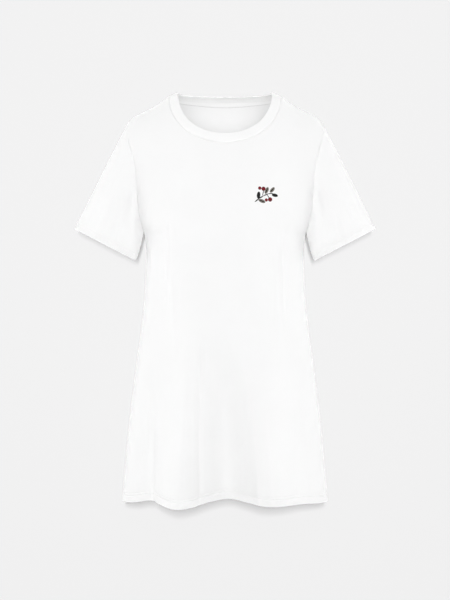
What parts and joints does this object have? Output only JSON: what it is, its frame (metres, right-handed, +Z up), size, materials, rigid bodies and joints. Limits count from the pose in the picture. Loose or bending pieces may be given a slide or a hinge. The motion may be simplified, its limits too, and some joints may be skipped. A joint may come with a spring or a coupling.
{
  "type": "t-shirt dress",
  "caption": "Short-sleeved T-shirt dress with a rib crew collar and a flared, softly fluted hem, hollow, in the form it has when worn.",
  "frame": {"origin": "midway between the two high points of the shoulders, where the wearer holds the dress up", "axes": "+Z up, -Y out of the front of the dress, +X to the wearer's left"},
  "size_m": [0.6562, 0.3003, 0.8916],
  "materials": {
    "jersey": "matt white single jersey",
    "rib": "matt white rib knit",
    "tape": "matt white woven tape",
    "thread": "white sewing thread",
    "print_grey": "matt grey textile print",
    "print_black": "matt black textile print",
    "print_red": "matt dark red textile print"
  },
  "bodies": {
    "root": {"front": "jersey", "back": "jersey", "sleeve_left": "jersey", "sleeve_right": "jersey", "collar": "rib", "neck_tape": "tape"}
  },
  "joints": []
}
